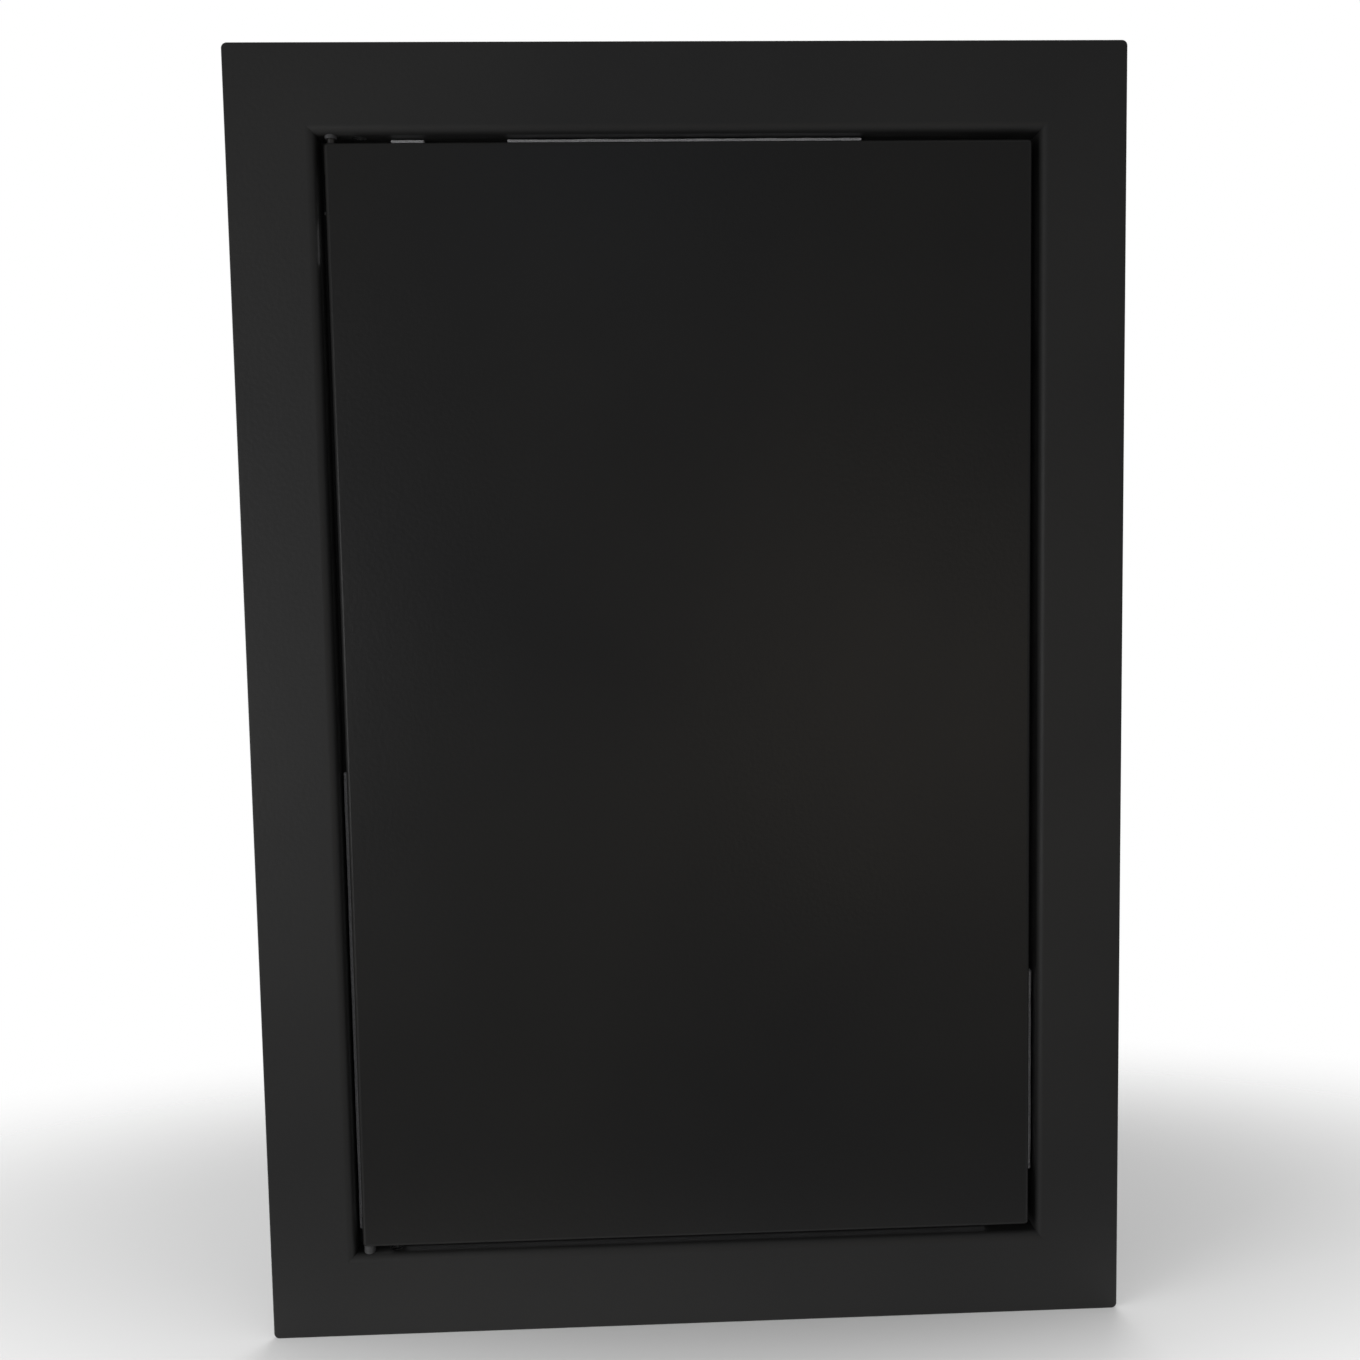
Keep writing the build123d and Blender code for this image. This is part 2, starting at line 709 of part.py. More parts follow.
# Upper pin: sprung upwards against the knuckle, with its lower end bent over as a finger pull
with BuildPart() as upper_hinge_pin:
    with BuildLine():
        FilletPolyline(
            (pivot_x, pivot_y, pin_tip_z),
            (pivot_x, pivot_y, finger_z),
            (pivot_x + finger_length, pivot_y, finger_z),
            radius=finger_bend_radius,
        )
    with BuildSketch(Plane.XY.offset(pin_tip_z)):
        with Locations((pivot_x, pivot_y)):
            Circle(pin_radius)
    sweep()
    chamfer(upper_hinge_pin.edges().sort_by(Axis.Z)[-1], pin_tip_chamfer)
    with BuildSketch(Plane.XY.offset(collar_base_z)):
        with Locations((pivot_x, pivot_y)):
            Circle(pin_head_radius)
    extrude(amount=pin_head_thickness)
save(upper_hinge_pin.part, "upper_hinge_pin")

# The spring that holds the upper pin up, between the guide ear and the pin's collar
with BuildPart() as pin_spring:
    wind_spring(
        Plane((pivot_x, pivot_y, ear_top_z + pin_spring_wire / 2)),
        pin_radius + pin_spring_clearance + pin_spring_wire / 2,
        pin_spring_length - pin_spring_wire,
        pin_spring_turns,
        pin_spring_wire,
    )
save(pin_spring.part, "pin_spring")
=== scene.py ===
from math import pi, radians, sqrt

import bmesh
import bpy
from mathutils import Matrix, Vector


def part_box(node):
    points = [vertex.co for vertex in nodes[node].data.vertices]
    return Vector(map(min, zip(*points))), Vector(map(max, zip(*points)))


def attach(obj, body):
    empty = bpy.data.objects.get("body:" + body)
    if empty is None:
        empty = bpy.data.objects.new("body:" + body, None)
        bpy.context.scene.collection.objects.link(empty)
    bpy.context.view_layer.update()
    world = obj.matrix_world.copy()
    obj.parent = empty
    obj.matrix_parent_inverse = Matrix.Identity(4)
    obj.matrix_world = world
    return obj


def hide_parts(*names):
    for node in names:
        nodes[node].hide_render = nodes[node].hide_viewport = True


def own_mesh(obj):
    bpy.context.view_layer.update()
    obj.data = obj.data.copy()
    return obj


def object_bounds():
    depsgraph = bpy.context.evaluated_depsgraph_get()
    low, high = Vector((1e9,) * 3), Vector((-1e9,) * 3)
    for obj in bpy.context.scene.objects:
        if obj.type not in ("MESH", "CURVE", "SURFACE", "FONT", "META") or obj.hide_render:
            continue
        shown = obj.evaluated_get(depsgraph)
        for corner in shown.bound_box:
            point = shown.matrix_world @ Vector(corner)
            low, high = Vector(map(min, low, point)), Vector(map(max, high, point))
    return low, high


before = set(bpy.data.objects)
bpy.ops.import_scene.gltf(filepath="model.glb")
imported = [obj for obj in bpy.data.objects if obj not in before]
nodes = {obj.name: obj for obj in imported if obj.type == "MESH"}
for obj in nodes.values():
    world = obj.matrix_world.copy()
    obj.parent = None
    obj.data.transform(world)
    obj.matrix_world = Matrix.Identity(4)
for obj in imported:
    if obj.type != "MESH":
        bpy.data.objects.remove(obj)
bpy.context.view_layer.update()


# The picture frame: two rails and two stiles folded from 1.5 mm steel, mitred, welded and dressed at the
# corners, then powder coated in satin black. The coat is smooth, with a faint orange peel and a slow drift
# in its gloss, and it covers the front, the ledge and the returns alike.
coat_cloud_scale = 7.0
coat_gloss_scale = 18.0
coat_peel_scale = 620.0
coat_peel_height = 0.00006
coat_fleck_scale = 2600.0
coat_fleck_height = coat_peel_height / 4
# The frame's black is set lighter than the door's black further down.
frame_black = (0.0106, 0.0106, 0.0107, 1.0)
frame_black_worn = (0.0132, 0.0131, 0.0128, 1.0)
frame_roughness = (0.44, 0.49)


def start_finish(name):
    """A new finish and its shader."""
    finish = bpy.data.materials.new(name)
    finish.use_nodes = True
    return finish, finish.node_tree.nodes["Principled BSDF"]


def pattern(finish, kind, scale, stretch=(1, 1, 1), **settings):
    """A procedural pattern that is fixed to the piece, with a scale in repeats per metre."""
    tree = finish.node_tree
    place = tree.nodes.new("ShaderNodeTexCoord")
    turn = tree.nodes.new("ShaderNodeMapping")
    turn.inputs["Scale"].default_value = stretch
    texture = tree.nodes.new(kind)
    texture.inputs["Scale"].default_value = scale
    for name, value in settings.items():
        texture.inputs[name].default_value = value
    tree.links.new(place.outputs["Object"], turn.inputs["Vector"])
    tree.links.new(turn.outputs["Vector"], texture.inputs["Vector"])
    return texture.outputs[0]


def colour_between(finish, shader, source, first, second, low=0.35, high=0.65):
    """The shader's colour runs from the first to the second as the pattern runs from low to high."""
    ramp = finish.node_tree.nodes.new("ShaderNodeValToRGB")
    ramp.color_ramp.elements[0].position = low
    ramp.color_ramp.elements[1].position = high
    ramp.color_ramp.elements[0].color = first
    ramp.color_ramp.elements[1].color = second
    finish.node_tree.links.new(source, ramp.inputs["Fac"])
    finish.node_tree.links.new(ramp.outputs["Color"], shader.inputs["Base Color"])
    return ramp.outputs["Color"]


def value_between(finish, shader, socket, source, first, second, low=0.35, high=0.65):
    """A number on the shader runs from the first to the second as the pattern runs from low to high."""
    spread = finish.node_tree.nodes.new("ShaderNodeMapRange")
    spread.inputs["From Min"].default_value = low
    spread.inputs["From Max"].default_value = high
    spread.inputs["To Min"].default_value = first
    spread.inputs["To Max"].default_value = second
    finish.node_tree.links.new(source, spread.inputs["Value"])
    finish.node_tree.links.new(spread.outputs["Result"], shader.inputs[socket])


def relief(finish, shader, source, height, strength=1.0, under=None):
    """The surface rises with the pattern by a height in metres, on top of any relief under it."""
    bump = finish.node_tree.nodes.new("ShaderNodeBump")
    bump.inputs["Distance"].default_value = height
    bump.inputs["Strength"].default_value = strength
    finish.node_tree.links.new(source, bump.inputs["Height"])
    if under:
        finish.node_tree.links.new(under, bump.inputs["Normal"])
    finish.node_tree.links.new(bump.outputs["Normal"], shader.inputs["Normal"])
    return bump.outputs["Normal"]


def dress(names, finish):
    """Give carried-over parts their finish."""
    for name in names:
        for part_slot in nodes[name].material_slots:
            part_slot.material = finish


def powder_coat(name, black, worn, roughness):
    """Satin black powder coat, smooth with a faint orange peel."""
    finish, shader = start_finish(name)
    clouds = pattern(finish, "ShaderNodeTexNoise", coat_cloud_scale, Detail=3.0)
    gloss = pattern(finish, "ShaderNodeTexNoise", coat_gloss_scale, Detail=4.0)
    peel = pattern(finish, "ShaderNodeTexNoise", coat_peel_scale, Detail=1.5)
    flecks = pattern(finish, "ShaderNodeTexNoise", coat_fleck_scale, Detail=1.0)
    colour_between(finish, shader, clouds, black, worn)
    value_between(finish, shader, "Roughness", gloss, *roughness)
    peel_relief = relief(finish, shader, peel, coat_peel_height)
    relief(finish, shader, flecks, coat_fleck_height, under=peel_relief)
    return finish


frame_coat = powder_coat("satin_black_frame", frame_black, frame_black_worn, frame_roughness)
dress(["frame_top_rail", "frame_bottom_rail", "frame_hinge_stile", "frame_latch_stile"], frame_coat)


# Corner cleats: angles bent from zinc-plated strip, which back the four mitres on the outside of the rear
# returns. The plating is bright, with cloudy patches and the faint lines of the rolled strip.
zinc_light = (0.66, 0.68, 0.70, 1.0)
zinc_dull = (0.50, 0.52, 0.53, 1.0)
zinc_roughness = (0.28, 0.44)
zinc_cloud_scale = 90.0
zinc_line_scale = 60.0
zinc_line_stretch = (1, 1, 40)
zinc_line_height = 0.00002


def zinc_plating(name):
    """Bright zinc on rolled strip."""
    finish, shader = start_finish(name)
    shader.inputs["Metallic"].default_value = 1.0
    clouds = pattern(finish, "ShaderNodeTexNoise", zinc_cloud_scale, Detail=4.0)
    lines = pattern(finish, "ShaderNodeTexNoise", zinc_line_scale, zinc_line_stretch, Detail=3.0)
    colour_between(finish, shader, clouds, zinc_light, zinc_dull)
    value_between(finish, shader, "Roughness", clouds, *zinc_roughness)
    relief(finish, shader, lines, zinc_line_height)
    return finish


zinc_plate = zinc_plating("bright_zinc_plate")
dress([f"corner_cleat_{number}" for number in (1, 2, 3, 4)], zinc_plate)


# Corner rivets: two blind rivets at each corner, set from inside the frame through a rear return and a
# cleat. The head is domed, with the broken end of its mandrel in the middle, and the tail is bulbed.
steel_light = (0.68, 0.68, 0.68, 1.0)
steel_dark = (0.52, 0.52, 0.53, 1.0)
steel_roughness = (0.22, 0.34)
steel_smudge_scale = 150.0
frame_sheet = 0.0015
cleat_sheet = 0.0015
rivet_from_corner = 0.009
same_spot = 0.000001
rivet_sides = 40
rivet_profile = (
    (0.0008, -0.00410),
    (0.0019, -0.00405),
    (0.0026, -0.00380),
    (0.0029, -0.00345),
    (0.0028, -0.00312),
    (0.0024, -0.00300),
    (0.0016, -0.00300),
    (0.0016, 0.0),
    (0.0030, 0.0),
    (0.0030, 0.00018),
    (0.00285, 0.00042),
    (0.0025, 0.00070),
    (0.0020, 0.00092),
    (0.0014, 0.00106),
    (0.00105, 0.00110),
    (0.00095, 0.00104),
    (0.00090, 0.00060),
    (0.00070, 0.00060),
    (0.00062, 0.00078),
    (0.00030, 0.00084),
)
cleat_low, cleat_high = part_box("corner_cleat_2")
return_x = cleat_high.x - cleat_sheet - frame_sheet
return_z = cleat_high.z - cleat_sheet - frame_sheet
rivet_depth = (cleat_low.y + cleat_high.y) / 2

bright_steel, shader = start_finish("bright_steel")
shader.inputs["Metallic"].default_value = 1.0
smudges = pattern(bright_steel, "ShaderNodeTexNoise", steel_smudge_scale, Detail=3.0)
colour_between(bright_steel, shader, smudges, steel_light, steel_dark)
value_between(bright_steel, shader, "Roughness", smudges, *steel_roughness)


def take(piece):
    """Select one piece alone."""
    bpy.ops.object.select_all(action="DESELECT")
    piece.select_set(True)
    bpy.context.view_layer.objects.active = piece


def turned_piece(name, sides, profile, open_through=False, turn=0.0):
    """A piece turned about Z: a disc, or a ring where it is open right through, is extruded from each
    (radius, height) of the profile to the next."""
    (radius, height), *rest = profile
    bpy.ops.object.select_all(action="DESELECT")
    bpy.ops.mesh.primitive_circle_add(
        vertices=sides,
        radius=radius,
        fill_type="NOTHING" if open_through else "NGON",
        location=(0, 0, height),
        rotation=(0, 0, turn),
    )
    piece = bpy.context.active_object
    piece.name = name
    bpy.ops.object.transform_apply(location=True, rotation=True, scale=True)
    bpy.ops.object.mode_set(mode="EDIT")
    bpy.ops.mesh.select_all(action="SELECT")
    for next_radius, next_height in rest:
        bpy.ops.mesh.extrude_region_move(
            TRANSFORM_OT_translate={"value": (0, 0, next_height - height)}
        )
        ratio = next_radius / radius
        bpy.ops.transform.resize(value=(ratio, ratio, 1), center_override=(0, 0, next_height))
        radius, height = next_radius, next_height
    bpy.ops.mesh.select_all(action="SELECT")
    bpy.ops.mesh.remove_doubles(threshold=same_spot)
    bpy.ops.mesh.normals_make_consistent(inside=False)
    bpy.ops.object.mode_set(mode="OBJECT")
    return piece


def soften(piece, width, segments=2, angle=35):
    """Round a piece's sharp edges by a width, and shade it smooth between those that stay."""
    take(piece)
    if width:
        rounding = piece.modifiers.new("rounding", "BEVEL")
        rounding.width = width
        rounding.segments = segments
        rounding.angle_limit = radians(angle)
        bpy.ops.object.modifier_apply(modifier=rounding.name)
    bpy.ops.object.shade_smooth_by_angle(angle=radians(angle))


def copy_of(piece, name):
    """A copy of a piece, with a mesh of its own."""
    take(piece)
    bpy.ops.object.duplicate()
    bpy.context.active_object.name = name
    return bpy.context.active_object


def set_in_place(piece, spot, facing):
    """Turn a piece from facing up to facing a direction, move it to its spot, and keep that in its mesh."""
    take(piece)
    piece.rotation_euler = Vector((0, 0, 1)).rotation_difference(Vector(facing)).to_euler()
    piece.location = spot
    bpy.ops.object.transform_apply(location=True, rotation=True, scale=True)


def remove(piece):
    """Take away a pattern piece or a tool."""
    take(piece)
    bpy.ops.object.delete()


rivet_pattern = turned_piece("rivet_pattern", rivet_sides, rivet_profile)
soften(rivet_pattern, 0)
rivet_pattern.data.materials.append(bright_steel)
for corner, (side, end) in enumerate(((-1, 1), (1, 1), (1, -1), (-1, -1)), start=1):
    upright_spot = (side * return_x, rivet_depth, end * (return_z - rivet_from_corner))
    level_spot = (side * (return_x - rivet_from_corner), rivet_depth, end * return_z)
    for rail, spot, facing in (
        ("stile", upright_spot, (-side, 0, 0)),
        ("rail", level_spot, (0, 0, -end)),
    ):
        rivet = copy_of(rivet_pattern, f"rivet_{corner}_{rail}")
        set_in_place(rivet, spot, facing)
        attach(rivet, "frame")
        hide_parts("corner_rivets")
remove(rivet_pattern)


# Foam seal strips: grey closed-cell foam with an adhesive back, cut from a roll by hand and stuck on the
# ledge. Its face swells a little unevenly between its cells, and its long edges are soft.
foam_light = (0.34, 0.34, 0.35, 1.0)
foam_dark = (0.20, 0.20, 0.21, 1.0)
foam_sheen = 0.25
foam_roughness = (0.95, 0.75)
foam_cell_scale = 1700.0
foam_cell_edge = (0.05, 0.6)
foam_cell_hollow = (0.0, 0.7)
foam_cell_height = 0.00016
foam_pore_scale = 4200.0
foam_pore_height = foam_cell_height / 3
foam_slice = 0.002
foam_edge_radius = 0.0008
foam_edge_steps = 4
foam_face_cuts = 3
foam_back_bevel = 0.0015
foam_swell = 0.0003
foam_swell_scale = 0.012

foam, shader = start_finish("grey_foam")
shader.inputs["Sheen Weight"].default_value = foam_sheen
cells = pattern(foam, "ShaderNodeTexVoronoi", foam_cell_scale)
pores = pattern(foam, "ShaderNodeTexVoronoi", foam_pore_scale)
colour_between(foam, shader, cells, foam_dark, foam_light, *foam_cell_edge)
value_between(foam, shader, "Roughness", cells, *foam_roughness, *foam_cell_hollow)
cell_relief = relief(foam, shader, cells, foam_cell_height)
relief(foam, shader, pores, foam_pore_height, under=cell_relief)


def pick_corners(test):
    """In edit mode, select the corners of the mesh whose place passes the test, and nothing else."""
    bpy.ops.mesh.select_all(action="DESELECT")
    shape = bmesh.from_edit_mesh(bpy.context.active_object.data)
    for corner in shape.verts:
        corner.select = test(corner.co)
    shape.select_flush(True)
    bmesh.update_edit_mesh(bpy.context.active_object.data)


def foam_strip(name, node, side):
    """A strip of foam in the space of its node, with its collar at the high (1) or low (-1) side."""
    low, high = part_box(node)
    size = high - low
    along, across = (0, 2) if size.x > size.z else (2, 0)
    start = (low + high) / 2
    start[along] = low[along]
    bpy.ops.object.select_all(action="DESELECT")
    bpy.ops.mesh.primitive_plane_add(
        size=1.0, location=start, rotation=(0, pi / 2 if along == 0 else 0, 0)
    )
    strip = bpy.context.active_object
    strip.name = name
    strip.scale = (size[across], size.y, 1)
    bpy.ops.object.transform_apply(location=True, rotation=True, scale=True)
    bpy.ops.object.mode_set(mode="EDIT")
    near = 0.00001
    collar_side = high[across] if side > 0 else low[across]
    pick_corners(
        lambda place: abs(place.y - high.y) < near and abs(place[across] - collar_side) < near
    )
    bpy.ops.mesh.bevel(offset=foam_back_bevel, affect="VERTICES")
    pick_corners(lambda place: abs(place.y - low.y) < near)
    bpy.ops.mesh.bevel(offset=foam_edge_radius, segments=foam_edge_steps, affect="VERTICES")
    pick_corners(lambda place: abs(place.y - low.y) < near)
    bpy.ops.mesh.subdivide(number_cuts=foam_face_cuts)
    bpy.ops.mesh.select_all(action="SELECT")
    slices = round(size[along] / foam_slice)
    step = [0, 0, 0]
    step[along] = size[along] / slices
    for _ in range(slices):
        bpy.ops.mesh.extrude_region_move(TRANSFORM_OT_translate={"value": step})
    bpy.ops.mesh.select_all(action="SELECT")
    bpy.ops.mesh.normals_make_consistent(inside=False)
    bpy.ops.object.mode_set(mode="OBJECT")

    free = strip.vertex_groups.new(name="free_face")
    free.add(
        [corner.index for corner in strip.data.vertices if corner.co.y < high.y - foam_back_bevel - near],
        1.0,
        "REPLACE",
    )
    uneven = bpy.data.textures.new(f"{name}_swell", "CLOUDS")
    uneven.noise_scale = foam_swell_scale
    swell = strip.modifiers.new("swell", "DISPLACE")
    swell.texture = uneven
    swell.vertex_group = free.name
    swell.strength = foam_swell
    swell.mid_level = 1.0
    bpy.ops.object.modifier_apply(modifier=swell.name)
    soften(strip, 0, angle=50)
    strip.data.materials.append(foam)
    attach(strip, "frame")
    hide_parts(node)


foam_strip("foam_top_short", "seal_top_short", 1)
foam_strip("foam_top_long", "seal_top_long", 1)
foam_strip("foam_bottom", "seal_bottom", -1)
foam_strip("foam_hinge_side", "seal_hinge_side", -1)
foam_strip("foam_latch_side", "seal_latch_side", 1)


# Pivot blocks: black nylon, moulded, behind the top and bottom rails. A boss on each goes through the
# collar and carries a hinge pin. A countersunk screw with a cross recess holds each from the seam.
nylon_black = (0.030, 0.030, 0.031, 1.0)
nylon_grey = (0.042, 0.042, 0.043, 1.0)
nylon_roughness = (0.42, 0.58)
nylon_spark_scale = 1800.0
nylon_spark_height = 0.00003
thread_steps = 36
thread_fullness = 0.45
cross_taper = 0.45
block_screw_sides = 40
block_screw_profile = (
    (0.0004, -0.0060),
    (0.0010, -0.0054),
    (0.0010, -0.0013),
    (0.0013, -0.0013),
    (0.0025, -0.0001),
    (0.0026, 0.0),
    (0.0020, 0.00002),
)
block_screw_thread = {"core": 0.0010, "crest": 0.0013, "start": -0.0053, "length": 0.0038, "turns": 6}
block_screw_cross = {"width": 0.0030, "slot_width": 0.0006, "depth": 0.0009, "top": 0.0}
screws_low, screws_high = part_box("pivot_block_screws")
block_screw_x = (screws_low.x + screws_high.x) / 2
block_screw_depth = (screws_low.y + screws_high.y) / 2
collar_z = screws_high.z + block_screw_profile[0][1]

black_nylon, shader = start_finish("moulded_black_nylon")
nylon_spark = pattern(black_nylon, "ShaderNodeTexNoise", nylon_spark_scale, Detail=2.0)
colour_between(black_nylon, shader, nylon_spark, nylon_black, nylon_grey)
value_between(black_nylon, shader, "Roughness", nylon_spark, *nylon_roughness)
relief(black_nylon, shader, nylon_spark, nylon_spark_height)
dress(["upper_pivot_block", "lower_pivot_block"], black_nylon)


def wound_piece(
    name, section_sides, section_radius, coil_radius, turns, rise, steps=32, flatten=1.0
):
    """Wire or a thread's ridge wound up round Z from the origin's level, with its ends closed."""
    bpy.ops.object.select_all(action="DESELECT")
    bpy.ops.mesh.primitive_circle_add(
        vertices=section_sides,
        radius=section_radius,
        location=(coil_radius, 0, 0),
        rotation=(pi / 2, pi / 2, 0),
    )
    piece = bpy.context.active_object
    piece.name = name
    bpy.ops.object.transform_apply(location=True, rotation=True, scale=True)
    bpy.ops.object.mode_set(mode="EDIT")
    bpy.ops.mesh.select_all(action="SELECT")
    bpy.ops.transform.resize(value=(1, 1, flatten), center_override=(coil_radius, 0, 0))
    bpy.ops.object.mode_set(mode="OBJECT")
    winding = piece.modifiers.new("winding", "SCREW")
    winding.screw_offset = rise / turns
    winding.iterations = turns
    winding.steps = steps
    winding.render_steps = steps
    bpy.ops.object.modifier_apply(modifier=winding.name)
    bpy.ops.object.mode_set(mode="EDIT")
    bpy.ops.mesh.select_all(action="SELECT")
    bpy.ops.mesh.fill_holes(sides=0)
    bpy.ops.mesh.select_all(action="SELECT")
    bpy.ops.mesh.normals_make_consistent(inside=False)
    bpy.ops.object.mode_set(mode="OBJECT")
    return piece


def combine(piece, tool, how):
    """Cut a tool out of a piece ("DIFFERENCE"), weld it on ("UNION") or keep what both fill ("INTERSECT"),
    and drop the tool."""
    take(piece)
    change = piece.modifiers.new("change", "BOOLEAN")
    change.operation = how
    change.solver = "EXACT"
    change.object = tool
    bpy.ops.object.modifier_apply(modifier=change.name)
    remove(tool)


def raise_thread(piece, core, crest, start, length, turns):
    """Raise a thread's ridge on a round stem, from its core to its crest."""
    reach = crest - core
    fullness = thread_fullness * length / turns / reach
    ridge = wound_piece("ridge", 3, reach, core, turns, length, thread_steps, fullness)
    take(ridge)
    ridge.location = (0, 0, start)
    bpy.ops.object.transform_apply(location=True, rotation=True, scale=True)
    combine(piece, ridge, "UNION")


def cut_cross(piece, width, slot_width, depth, top):
    """Cut a cross recess, tapered towards its bottom, into a screw's head."""
    for turn in (0, pi / 2):
        bpy.ops.object.select_all(action="DESELECT")
        bpy.ops.mesh.primitive_cube_add(size=1.0, location=(0, 0, top))
        tool = bpy.context.active_object
        tool.scale = (width, slot_width, 2 * depth)
        tool.rotation_euler = (0, 0, turn)
        bpy.ops.object.transform_apply(location=True, rotation=True, scale=True)
        bpy.ops.object.mode_set(mode="EDIT")
        pick_corners(lambda place: place.z < top)
        bpy.ops.transform.resize(
            value=(cross_taper, cross_taper, 1), center_override=(0, 0, top - depth)
        )
        bpy.ops.object.mode_set(mode="OBJECT")
        combine(piece, tool, "DIFFERENCE")


screw_pattern = turned_piece("block_screw_pattern", block_screw_sides, block_screw_profile)
raise_thread(screw_pattern, **block_screw_thread)
cut_cross(screw_pattern, **block_screw_cross)
soften(screw_pattern, 0)
screw_pattern.data.materials.append(bright_steel)
for level, end in (("upper", 1), ("lower", -1)):
    screw = copy_of(screw_pattern, f"{level}_pivot_block_screw")
    set_in_place(screw, (block_screw_x, block_screw_depth, end * collar_z), (0, 0, -end))
    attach(screw, "frame")
    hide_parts("pivot_block_screws")
remove(screw_pattern)


# Latch brackets: zinc-plated angles on the latch stile's rear return, one for each latch. Each is held by
# two pan-head screws with a cross recess, whose threads stand out behind the return.
bracket_screw_from_latch = 0.009
pan_screw_sides = 48
pan_screw_profile = (
    (0.0008, -0.0070),
    (0.0016, -0.0064),
    (0.00165, -0.0062),
    (0.00165, 0.0),
    (0.0035, 0.0),
    (0.0035, 0.00055),
    (0.0033, 0.00110),
    (0.0028, 0.00155),
    (0.0021, 0.00185),
    (0.0012, 0.00200),
)
pan_screw_thread = {"core": 0.00165, "crest": 0.0020, "start": -0.0060, "length": 0.0056, "turns": 8}
pan_screw_cross = {"width": 0.0036, "slot_width": 0.0008, "depth": 0.0012, "top": 0.0020}
screws_low, screws_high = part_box("latch_bracket_screws")
bracket_face_x = screws_low.x + pan_screw_profile[-1][1]
bracket_screw_depth = (screws_low.y + screws_high.y) / 2
nut_low, nut_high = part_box("upper_latch_nut")
latch_x = (nut_low.x + nut_high.x) / 2
latch_z = (nut_low.z + nut_high.z) / 2

dress(["upper_latch_bracket", "lower_latch_bracket"], zinc_plate)

screw_pattern = turned_piece("bracket_screw_pattern", pan_screw_sides, pan_screw_profile)
raise_thread(screw_pattern, **pan_screw_thread)
cut_cross(screw_pattern, **pan_screw_cross)
soften(screw_pattern, 0)
screw_pattern.data.materials.append(bright_steel)
for level, end in (("upper", 1), ("lower", -1)):
    for place, offset in (("top", bracket_screw_from_latch), ("bottom", -bracket_screw_from_latch)):
        screw = copy_of(screw_pattern, f"{level}_latch_bracket_{place}_screw")
        spot = (bracket_face_x, bracket_screw_depth, end * latch_z + offset)
        set_in_place(screw, spot, (-1, 0, 0))
        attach(screw, "frame")
        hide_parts("latch_bracket_screws")
remove(screw_pattern)


# Touch latches: a barrel moulded in grey plastic, with a fixed flange in front of the bracket and a thread
# behind it, and a lock nut on the thread. A steel spring inside it pushes the plunger out.
plastic_grey = (0.20, 0.20, 0.21, 1.0)
plastic_grey_dark = (0.165, 0.165, 0.175, 1.0)
plastic_roughness = (0.42, 0.56)
plastic_spark_scale = 2200.0
plastic_spark_height = 0.00004
barrel_sides = 64
barrel_flange_radius = 0.0080
barrel_flange_middle = 0.0210
barrel_profile = (
    (0.0041, 0.0380),
    (0.0041, 0.0006),
    (0.0045, 0.0),
    (0.0054, 0.0),
    (0.0060, 0.0006),
    (0.0060, 0.0040),
    (0.0057, 0.0043),
    (0.0057, 0.0053),
    (0.0060, 0.0056),
    (0.0060, 0.0195),
    (0.0076, 0.0195),
    (barrel_flange_radius, 0.0199),
    (barrel_flange_radius, 0.0221),
    (0.0076, 0.0225),
    (0.0054, 0.0225),
    (0.0054, 0.0410),
    (0.0044, 0.0420),
    (0.0016, 0.0420),
    (0.0013, 0.0417),
    (0.0012, 0.0400),
)
barrel_thread = {"core": 0.0054, "crest": 0.0060, "start": 0.0236, "length": 0.0165, "turns": 11}
grip_depth = 0.00022
latch_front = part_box("upper_latch_body")[0].y

latch_plastic, shader = start_finish("moulded_grey_plastic")
spark = pattern(latch_plastic, "ShaderNodeTexNoise", plastic_spark_scale, Detail=2.0)
colour_between(latch_plastic, shader, spark, plastic_grey, plastic_grey_dark)
value_between(latch_plastic, shader, "Roughness", spark, *plastic_roughness)
relief(latch_plastic, shader, spark, plastic_spark_height)


def in_grip_groove(place):
    """Whether a corner of the barrel lies on its flange's rim, at every other step round it."""
    spoke = Vector((place.x, place.y))
    steps_round = round(spoke.angle_signed(Vector((1, 0))) / (2 * pi) * barrel_sides)
    return spoke.length > barrel_flange_radius - grip_depth / 2 and steps_round % 2


barrel_pattern = turned_piece("barrel_pattern", barrel_sides, barrel_profile)
take(barrel_pattern)
bpy.ops.object.mode_set(mode="EDIT")
pick_corners(in_grip_groove)
grip_ratio = 1 - grip_depth / barrel_flange_radius
bpy.ops.transform.resize(
    value=(grip_ratio, grip_ratio, 1), center_override=(0, 0, barrel_flange_middle)
)
bpy.ops.object.mode_set(mode="OBJECT")
raise_thread(barrel_pattern, **barrel_thread)
soften(barrel_pattern, 0, angle=30)
barrel_pattern.data.materials.append(latch_plastic)
for level, end in (("upper", 1), ("lower", -1)):
    barrel = copy_of(barrel_pattern, f"{level}_latch_barrel")
    set_in_place(barrel, (latch_x, latch_front, end * latch_z), (0, 1, 0))
    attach(barrel, "frame")
    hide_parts(f"{level}_latch_body")
remove(barrel_pattern)
dress(["upper_latch_spring", "lower_latch_spring"], bright_steel)

